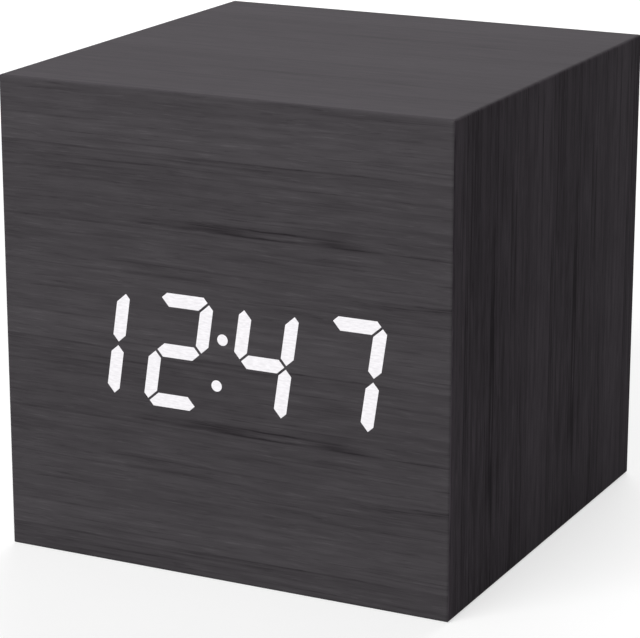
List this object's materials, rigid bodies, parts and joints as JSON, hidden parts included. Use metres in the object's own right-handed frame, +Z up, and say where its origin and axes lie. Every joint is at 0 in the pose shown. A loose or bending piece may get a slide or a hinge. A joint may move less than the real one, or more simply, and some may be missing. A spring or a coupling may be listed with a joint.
{
  "type": "digital alarm clock",
  "caption": "Cube desk clock in mitred dark wood-film boards, with slanted lit digits behind the front film and a rear cover with hinged battery door, push buttons and power socket.",
  "frame": {"origin": "middle of the underside", "axes": "+Z up, -Y out of the front with the digits, +X to the viewer's right when facing the digits"},
  "size_m": [0.062, 0.062, 0.062],
  "materials": {
    "wood_film": "matte dark grey wood-grain film",
    "raw_board": "raw fibre board",
    "glow": "lit white",
    "black_plastic": "fine moulded texture",
    "button_plastic": "satin",
    "switch_plastic": "satin",
    "white_plastic": "satin",
    "lens_resin": "milky",
    "chip_resin": "clear yellow",
    "circuit_board": "green lacquer",
    "component_black": "moulded",
    "capacitor_sleeve": "shrunk sleeve",
    "plated_steel": "nickel plated",
    "zinc_screw": "dark zinc",
    "cell_jacket": "plain grey jacket",
    "flat_cable": "grey",
    "red_sleeve": "red",
    "black_sleeve": "black"
  },
  "bodies": {
    "case": {"front_film": "wood_film", "lit_segments": "glow", "front_board": "raw_board", "top_board": "wood_film", "bottom_board": "wood_film", "left_board": "wood_film", "right_board": "wood_film", "corner_blocks": "raw_board", "rear_cover": "black_plastic", "cover_screws": "zinc_screw", "switch_bodies": "switch_plastic", "control_board": "circuit_board", "board_screws": "zinc_screw", "power_socket": "plated_steel", "socket_tongue": "component_black", "buzzer": "component_black", "controller_chip": "component_black", "clock_crystal": "plated_steel", "capacitor": "capacitor_sleeve", "microphone": "plated_steel", "segment_housing": "white_plastic", "segment_lenses": "lens_resin", "light_chips": "chip_resin", "display_board": "circuit_board", "display_screws": "zinc_screw", "ribbon_cable": "flat_cable", "ribbon_sockets": "white_plastic", "battery_cells": "cell_jacket", "positive_terminal": "plated_steel", "negative_terminal": "plated_steel", "right_link": "plated_steel", "left_link": "plated_steel", "contact_springs": "plated_steel", "red_lead": "red_sleeve", "black_lead": "black_sleeve"},
    "door": {"battery_door": "black_plastic"},
    "set_key": {"set_button": "button_plastic", "set_plunger": "switch_plastic"},
    "down_key": {"down_button": "button_plastic", "down_plunger": "switch_plastic"},
    "up_key": {"up_button": "button_plastic", "up_plunger": "switch_plastic"}
  },
  "joints": [
    {"name": "door_swing", "type": "hinge", "parent": "case", "child": "door", "pos_m": [0, 0.03, 0.0115], "axis": [-1, 0, 0], "range_deg": [0, 80]},
    {"name": "set_press", "type": "slide", "parent": "case", "child": "set_key", "axis": [0, -1, 0], "range_m": [0, 0.0004], "stiffness_N_per_m": 600},
    {"name": "down_press", "type": "slide", "parent": "case", "child": "down_key", "axis": [0, -1, 0], "range_m": [0, 0.0004], "stiffness_N_per_m": 600},
    {"name": "up_press", "type": "slide", "parent": "case", "child": "up_key", "axis": [0, -1, 0], "range_m": [0, 0.0004], "stiffness_N_per_m": 600}
  ]
}
